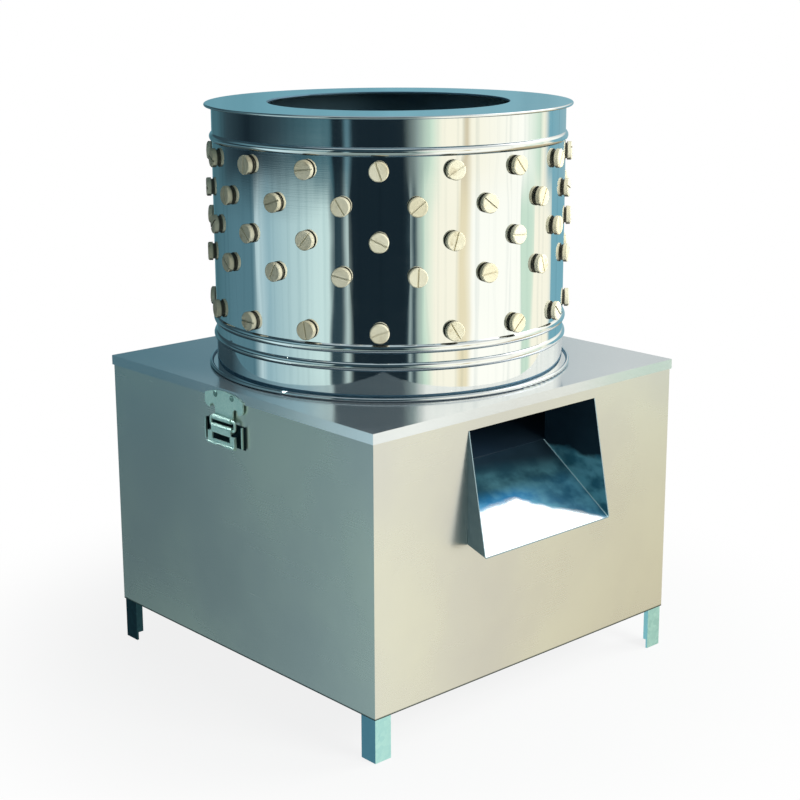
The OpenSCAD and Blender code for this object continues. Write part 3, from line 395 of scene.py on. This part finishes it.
def turned_finish():
    """Turned steel: fine rings along Z in the roughness and the relief, clouds in the colour."""
    made, shader, w = new_finish("turned_steel", Metallic=1.0)
    rings = w.noise((8, 8, 1500), detail=2)
    cloud = w.noise((25, 25, 25), detail=4)
    feed(shader, Base_Color=cloud.mix(tone(176, 180, 182), tone(222, 224, 224)),
         Roughness=0.18 + 0.2 * rings, Normal=bump(w, rings, TURNING_DEPTH))
    return made


finishes["leg_steel"] = zinc_finish("galvanised_leg", LEG_GRAIN, rough=0.24, **LEG_TONES)
# The front left leg's left side is painted darker as shade.
finishes["leg_front_left"] = zinc_finish(
    "left_shaded_leg", LEG_GRAIN, rough=0.24, left_side_shade=tone(116, 168, 192), **LEG_TONES)
# The rear left leg is painted dark all over as shade.
finishes["leg_rear_left"] = zinc_finish(
    "shade_dark_leg", LEG_GRAIN, rough=0.40, dark=tone(28, 56, 66), light=tone(44, 78, 88))
finishes["zinc_steel"] = zinc_finish(
    "bright_zinc", PLATED_GRAIN, rough=0.44, dark=tone(206, 240, 232), light=tone(232, 254, 246))
# The rivets are painted darker as shade.
finishes["keeper_rivets"] = zinc_finish(
    "shade_dark_rivets", PLATED_GRAIN, rough=0.5, dark=tone(112, 146, 142), light=tone(148, 180, 174))
finishes["latch_bases"] = base_finish()
finishes["bolt_steel"] = zinc_finish(
    "bolt_zinc", PLATED_GRAIN, rough=0.26, dark=tone(168, 176, 176), light=tone(214, 219, 217))
finishes["shaft_steel"] = turned_finish()
print("iron and zinc finishes made; latch bases are dark up to", round(BASE_DEEP, 4), "m from the middle")

# %% [markdown]
# ## Rubber fingers
# The fingers are moulded natural rubber: cream when new, and browner where water stands on them.
# No two heads have quite the same tint, so a slow noise over the drum shifts the colour from head
# to head, and a finer one mottles each head. The gap between a head and the drum is painted dark
# as shade, which the shader finds by the distance from the drum's axis. The plate's fingers, which
# do most of the rubbing, are the same rubber, painted a darker grey as the shade inside the stand.

# %% Rubber finish
GAP_FROM, GAP_INNER = 0.2475, 0.2495
GAP_OUTER, GAP_TO = 0.2515, 0.2545
# Painted shade for the gap between each head and the drum.
GAP_SHADE = tone(40, 42, 38)
PORE_DEPTH = 0.0001
MOTTLE_DEPTH = 0.0002


def rubber_finish(name, dull, new, stained):
    """Rubber: slow noise from head to head, fine mottling on each, pores of 0.1 mm, painted shade under
    heads.
    """
    made, shader, w = new_finish(name, IOR=1.5, Specular_IOR_Level=0.4)
    batch = w.noise((17, 17, 17), detail=1)
    mottle = w.noise((160, 160, 160), detail=5)
    pores = w.noise((900, 900, 900), detail=2)
    stain = w.noise((60, 60, 60), detail=4).ramp(0.56, 0.74)
    plain = batch.ramp(0.3, 0.7).mix(dull, new)
    marked = (0.5 * mottle).mix((0.55 * stain).mix(plain, stained), dull)
    out = w.vector("LENGTH", w.place((1, 1, 0)))
    hidden = w.math("MAXIMUM", 1 - out.ramp(GAP_OUTER, GAP_TO), 1 - w.facing_out())
    # Painted shade in the gap between each head and the drum.
    gap_shade_mask = hidden * out.ramp(GAP_FROM, GAP_INNER)
    feed(shader, Base_Color=(0.9 * gap_shade_mask).mix(marked, GAP_SHADE), Roughness=0.42 + 0.25 * mottle,
         Normal=bump(w, pores, PORE_DEPTH, bump(w, mottle, MOTTLE_DEPTH)))
    return made


finishes["finger_rubber"] = rubber_finish(
    "cream_rubber", dull=tone(218, 208, 178), new=tone(236, 229, 206), stained=tone(168, 148, 112))
# The plate's fingers take a darker copy of the rubber, painted as the shade inside the stand.
darkened_rubber = rubber_finish(
    "darkened_rubber", dull=tone(120, 116, 104), new=tone(158, 150, 132), stained=tone(84, 78, 66))
for plate_ring in ("outer", "middle", "inner"):
    finishes["plate_fingers_" + plate_ring] = darkened_rubber
print("rubber finishes made: cream for the wall's fingers, darkened for the plate's")

# %% [markdown]
# ## Works under the lid
# Out of sight are a painted frame, cast iron, an enamelled motor, belts and plastic. They're seen
# when the cover is lifted or the stand is looked at from below, so each has its own grain: cloudy
# paint with rust specks, sand texture on the castings, a fine grain on the belts. Each node then
# takes the finish of its own name where there is one, or else that of its material slot.

# %% Painted, cast and moulded finishes


def coat_finish(name, dark, light, rough, grain, depth, specks=None, **fixed):
    """Paint, cast skin, rubber or plastic: clouds of two sizes in the colour, a grain in the relief."""
    made, shader, w = new_finish(name, **fixed)
    cloud = w.noise((14, 14, 14), detail=5)
    skin = w.noise((grain, grain, grain), detail=3)
    colour = (0.7 * cloud + 0.3 * skin).mix(dark, light)
    if specks:
        colour = w.noise((75, 75, 75), detail=6).ramp(0.64, 0.72).mix(colour, specks)
    feed(shader, Base_Color=colour, Roughness=rough + 0.2 * cloud, Normal=bump(w, skin, depth))
    return made


finishes["frame_steel"] = coat_finish(
    "frame_paint", dark=tone(74, 86, 92), light=tone(104, 116, 120), rough=0.38,
    grain=220, depth=0.0002, specks=tone(120, 76, 48), IOR=1.5)
finishes["cast_grey"] = coat_finish(
    "cast_iron", dark=tone(66, 69, 71), light=tone(104, 107, 108), rough=0.45,
    grain=500, depth=0.0004, specks=tone(112, 80, 58), Metallic=0.6)
finishes["motor_paint"] = coat_finish(
    "motor_enamel", dark=tone(38, 78, 120), light=tone(56, 104, 150), rough=0.22,
    grain=260, depth=0.0002, Coat_Weight=0.3)
finishes["belt_rubber"] = coat_finish(
    "belt_rubber", dark=tone(30, 30, 31), light=tone(52, 51, 50), rough=0.6, grain=900, depth=0.0003)
finishes["black_plastic"] = coat_finish(
    "black_plastic", dark=tone(24, 25, 27), light=tone(44, 45, 48), rough=0.4, grain=700, depth=0.00015)
for name, node in nodes.items():
    slot = node.data.materials[0].name.split(".")[0]
    node.data.materials[0] = finishes.get(name, finishes[slot])
print(len(finishes), "entries in the list of finishes, put on", len(nodes), "nodes")

# %% [markdown]
# ## Camera
# The photo was taken from the front left, a little above the lid. A camera can be aimed by a
# constraint, but its matrix is plain arithmetic: a vector back from the target, one to the right
# and one up, turned by a quarter of a degree because the camera wasn't quite level.

# %% Camera
AZIMUTH, ELEVATION, ROLL = (math.radians(angle) for angle in (-42.107, 13.293, -0.254))
TARGET = np.array([0.0, 0.0, 0.44287])
DISTANCE = 2.4017
FOCAL_LENGTH = 73.87
SHIFT_RIGHT, SHIFT_UP = 0.0130, -0.0545

back = np.array([math.sin(AZIMUTH) * math.cos(ELEVATION), -math.cos(AZIMUTH) * math.cos(ELEVATION),
                 math.sin(ELEVATION)])
level = np.array([math.cos(AZIMUTH), math.sin(AZIMUTH), 0.0])
plumb = np.cross(back, level)
right = math.cos(ROLL) * level + math.sin(ROLL) * plumb
above = np.cross(back, right)
pose = np.eye(4)
pose[:3] = np.column_stack([right, above, back, TARGET + DISTANCE * back])

lens = bpy.data.cameras.new("camera")
lens.lens = FOCAL_LENGTH
lens.shift_x = SHIFT_RIGHT
lens.shift_y = SHIFT_UP
camera = bpy.data.objects.new("camera", lens)
camera.matrix_world = Matrix(pose.tolist())
bpy.context.scene.collection.objects.link(camera)
bpy.context.scene.camera = camera
print("camera at", np.round(pose[:3, 3], 3))

# %% [markdown]
# ## What the steel mirrors
# Polished steel has hardly any colour of its own: its bands are the room. The drum shows a dark
# opening where the camera stands, a pale window on the left, a wide white screen on the right and
# a teal wall behind. Real cards would have to stand all round the object, so the room is painted
# instead, in five rings of named tones by compass angle. From below they are the carpet, which the
# panels and legs show, the floor for the drum's wall, the walls for its collar and rim, the
# ceiling for the lid, and a bright screen overhead for the chute's floor. Tones above 255 glow.

# %% Room rings
ROOM_TONES = {
    "black": (24, 38, 46), "shade": (48, 68, 76), "slate": (68, 106, 116), "dusk": (86, 124, 136),
    "haze": (140, 167, 176), "teal": (120, 173, 188), "sky": (148, 183, 192), "grey": (142, 160, 156),
    "light": (186, 207, 204), "pale": (208, 234, 230), "silver": (214, 218, 216),
    "mint": (206, 231, 211), "cream": (256, 252, 232), "sand": (238, 227, 192),
    "straw": (202, 188, 155), "white": (262, 262, 252), "glare": (340, 342, 344),
    "damp": (70, 88, 92), "moss": (90, 110, 114), "fern": (132, 161, 160), "frost": (190, 216, 220),
    "ice": (212, 240, 246)}
CARPET_RING = [
    (-180, "moss"), (-112, "damp"), (-101, "moss"), (-95.5, "fern"), (-92, "frost"), (-86, "ice"),
    (-60, "light"), (-40, "grey"), (20, "grey"), (34, "white"), (82, "white"), (93, "straw"),
    (140, "straw"), (180, "moss")]
FLOOR_RING = [
    (-180, "teal"), (-158, "slate"), (-120, "dusk"), (-98, "dusk"), (-91.5, "frost"), (-86, "sky"),
    (-39, "pale"), (-37.5, "shade"), (-30, "shade"), (-27, "light"), (-24.5, "grey"),
    (-23.5, "black"), (10, "black"), (12, "shade"), (13, "light"), (14.5, "shade"), (16.5, "shade"),
    (17.5, "grey"), (23, "mint"), (29, "cream"), (43, "cream"), (46, "sand"), (51, "sand"),
    (54, "white"), (94, "white"), (96, "mint"), (103, "mint"), (106, "cream"), (126, "cream"),
    (130, "teal"), (180, "teal")]
WALL_RING = [
    (-180, "teal"), (-158, "slate"), (-145, "slate"), (-126, "shade"), (-102, "black"),
    (-75, "shade"), (-44, "slate"), (-37, "slate"), (-35.5, "black"), (-28.5, "black"),
    (-27.5, "dusk"), (-24.5, "dusk"), (-23.5, "black"), (9, "black"), (18, "grey"), (27, "mint"),
    (34, "cream"), (47, "cream"), (50, "straw"), (53, "cream"), (95, "white"), (112, "mint"),
    (118, "cream"), (125, "teal"), (166, "sky"), (180, "teal")]
CEILING_RING = [
    (-180, "haze"), (-170, "dusk"), (-166, "dusk"), (-161, "shade"), (-128, "shade"),
    (-108, "dusk"), (-60, "sky"), (-37, "light"), (-35.5, "shade"), (8, "shade"), (16, "grey"),
    (24, "white"), (140, "white"), (158, "silver"), (172, "silver"), (180, "haze")]
OVERHEAD_RING = [
    (-180, "shade"), (26, "shade"), (42, "silver"), (96, "silver"), (106, "glare"), (154, "glare"),
    (164, "dusk"), (180, "shade")]


def ring(turn, stops):
    """Colours by compass angle in degrees from the camera's side, blended straight between stops."""
    spread = [(angle / 360 + 0.5, tone(*ROOM_TONES[name])) for angle, name in stops]
    return turn.add("ValToRGB", {"stops": spread}, {"Fac": turn}, "Color")


rings_in_order = (CARPET_RING, FLOOR_RING, WALL_RING, CEILING_RING, OVERHEAD_RING)
print("stops in the room's rings, from below:", [len(stops) for stops in rings_in_order])

# %% [markdown]
# ## Room as the world
# The world can show each kind of ray something else. Mirror rays see the room: the rings follow
# each other by the height that a ray looks in, with a dark patch underfoot, a pale one at the top
# and faint upright streaks. Camera rays see plain white, and the soft light on rubber and paint
# comes from a pale grey that is darker on the left and behind. The room needs no cards that way,
# and it stays where it is when the object is looked at from another side.

# %% Room
ROOM_TURN = (math.pi + math.pi / 2 - AZIMUTH) / (2 * math.pi)
UNDERFOOT, UNDERFOOT_EDGE = tone(30, 44, 50), (-0.985, -0.955)
ZENITH, ZENITH_EDGE = tone(176, 192, 198), (0.80, 0.90)
SOFT_DARK, SOFT_LIGHT = tone(20, 42, 50), tone(190, 196, 192)
STREAK = tone(238, 241, 242)
STREAKS_ROUND = 110.0
RING_EDGES = [
    (-0.275, -0.245, FLOOR_RING), (-0.150, -0.108, WALL_RING), (0.09, 0.20, CEILING_RING),
    (0.42, 0.50, OVERHEAD_RING)]

world = bpy.data.worlds.new("room")
world.use_nodes = True
world.cycles.sampling_method = "NONE"
bpy.context.scene.world = world
w = Wire(world.node_tree)
axes = w.add("TexCoord", {}, {}, "Generated")
east, north, height = (w.add("SeparateXYZ", {}, {0: axes}, axis) for axis in "XYZ")
turn = w.math("FRACT", w.math("ARCTAN2", north, east) / (2 * math.pi) + ROOM_TURN)
room = height.ramp(*UNDERFOOT_EDGE).mix(UNDERFOOT, ring(turn, CARPET_RING))
for edge_from, edge_to, stops in RING_EDGES:
    room = height.ramp(edge_from, edge_to).mix(room, ring(turn, stops))
room = height.ramp(*ZENITH_EDGE).mix(room, ZENITH)
streaks = w.add("TexNoise", {"noise_dimensions": "1D"},
                {"W": turn, "Scale": STREAKS_ROUND, "Detail": 4.0})
room = w.add("Mix", {"data_type": "RGBA", "blend_type": "MULTIPLY"},
             {0: streaks.ramp(0.48, 0.74), 6: room, 7: STREAK}, 2)
lit_side = (0.55 * east - 0.6 * north).ramp(-0.35, 0.85)
soft = lit_side.mix(SOFT_DARK, SOFT_LIGHT)
shown = w.add("LightPath", {}, {}, "Is Glossy Ray").mix(soft, room)
shown = w.add("LightPath", {}, {}, "Is Camera Ray").mix(shown, (1, 1, 1, 1))
world.node_tree.links.new(shown.socket, world.node_tree.nodes["Background"].inputs["Color"])
bpy.context.scene.view_settings.view_transform = "Standard"
print("world has", len(world.node_tree.nodes), "nodes")

# %% [markdown]
# ## Floor
# The floor is a plain pale sheet. A lit sheet would look grey in the picture, so to the camera
# most of it glows white, and near the object a small share of its real shading is left, which
# keeps the shadow. Mirror rays pass it by, because the carpet ring stands for it there.

# %% Floor
FLOOR_REACH = 9.0
FLOOR_DROP = 0.0005
WHITE_NEAR, WHITE_GAIN = 0.86, 0.14
SHADOW_FROM, SHADOW_TO = 0.35, 0.8
FLOOR_DARK, FLOOR_LIGHT = (0.62, 0.63, 0.63, 1), (0.68, 0.68, 0.68, 1)


def floor_finish():
    """Pale floor that the camera sees as nearly white, with a trace of the object's shadow."""
    made, shader, w = new_finish("pale_floor", Roughness=1.0, Specular_IOR_Level=0.0)
    cloud = w.noise((2, 2, 2), detail=2)
    feed(shader, Base_Color=cloud.mix(FLOOR_DARK, FLOOR_LIGHT))
    glow = w.add("Emission", {}, {"Color": (1, 1, 1, 1), "Strength": 1.0})
    away = w.vector("LENGTH", w.place())
    white = WHITE_NEAR + WHITE_GAIN * away.ramp(SHADOW_FROM, SHADOW_TO)
    share = white * w.add("LightPath", {}, {}, "Is Camera Ray")
    cover = w.add("MixShader", {}, {0: share, 1: Wire(w.tree, shader.outputs[0]), 2: glow})
    made.node_tree.links.new(cover.socket, made.node_tree.nodes["Material Output"].inputs[0])
    return made


floor_corners = np.array([[-1, -1, 0], [1, -1, 0], [1, 1, 0], [-1, 1, 0]]) * FLOOR_REACH
sheet = bpy.data.meshes.new("floor")
sheet.from_pydata(floor_corners.tolist(), [], [(0, 1, 2, 3)])
sheet.materials.append(floor_finish())
floor = bpy.data.objects.new("floor", sheet)
floor.location.z = -FLOOR_DROP
floor.visible_glossy = False
bpy.context.scene.collection.objects.link(floor)
print("floor reaches", FLOOR_REACH, "m each way")

# %% [markdown]
# ## Lamps
# Three soft lamps give the plain light: a large one in front, one on the right, and a weak cool
# one that fills the shadows on the left. A tiny lamp inside the stand lets the back of the chute
# be seen. None of these shows in the mirrors, where the room already stands. A narrow spot falls
# on the left latch, whose rolled edges are the brightest marks on that side; it alone is mirrored.

# %% Lamps
SPOT_CONE = math.radians(3)


def lamp(kind, name, place, power, colour, aim_at=TARGET, **settings):
    """A lamp of one kind, aimed at a point: its local Z looks back from there, and X stays level."""
    light = bpy.data.lights.new(name, kind)
    light.energy = power
    light.color = colour
    for key, value in settings.items():
        setattr(light, key, value)
    made = bpy.data.objects.new(name, light)
    aim = np.array(place) - np.array(aim_at)
    aim = aim / np.linalg.norm(aim)
    side = np.cross((0.0, 0.0, 1.0), aim)
    side = side / np.linalg.norm(side)
    turned = np.eye(4)
    turned[:3] = np.column_stack([side, np.cross(aim, side), aim, place])
    made.matrix_world = Matrix(turned.tolist())
    made.visible_camera = made.visible_glossy = False
    bpy.context.scene.collection.objects.link(made)
    return made


lamp("AREA", "key_lamp", place=(0.35, -2.6, 1.7), power=72, colour=(0.98, 1.0, 0.97), size=1.2)
lamp("AREA", "side_lamp", place=(2.2, -1.3, 1.8), power=50, colour=(1.0, 1.0, 0.98), size=1.4)
lamp("AREA", "fill_lamp", place=(-2.4, -1.6, 1.6), power=6, colour=(0.50, 0.88, 1.0), size=1.6)
lamp("POINT", "inside_lamp", place=(0.0, -0.20, 0.40), power=0.10, colour=(0.62, 0.84, 1.0),
     shadow_soft_size=0.02)
low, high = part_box("latch_lever_left")
latch_spot = lamp("SPOT", "latch_spot", place=(-1.43, 0.90, 1.86), power=300, colour=(0.94, 1.0, 0.98),
                  aim_at=(low + high) / 2, spot_size=SPOT_CONE, spot_blend=0.2, shadow_soft_size=0.1)
latch_spot.visible_glossy = True
latch_spot.data.cycles.max_bounces = 0
print("lamps:", sorted(light.name for light in bpy.data.lights))
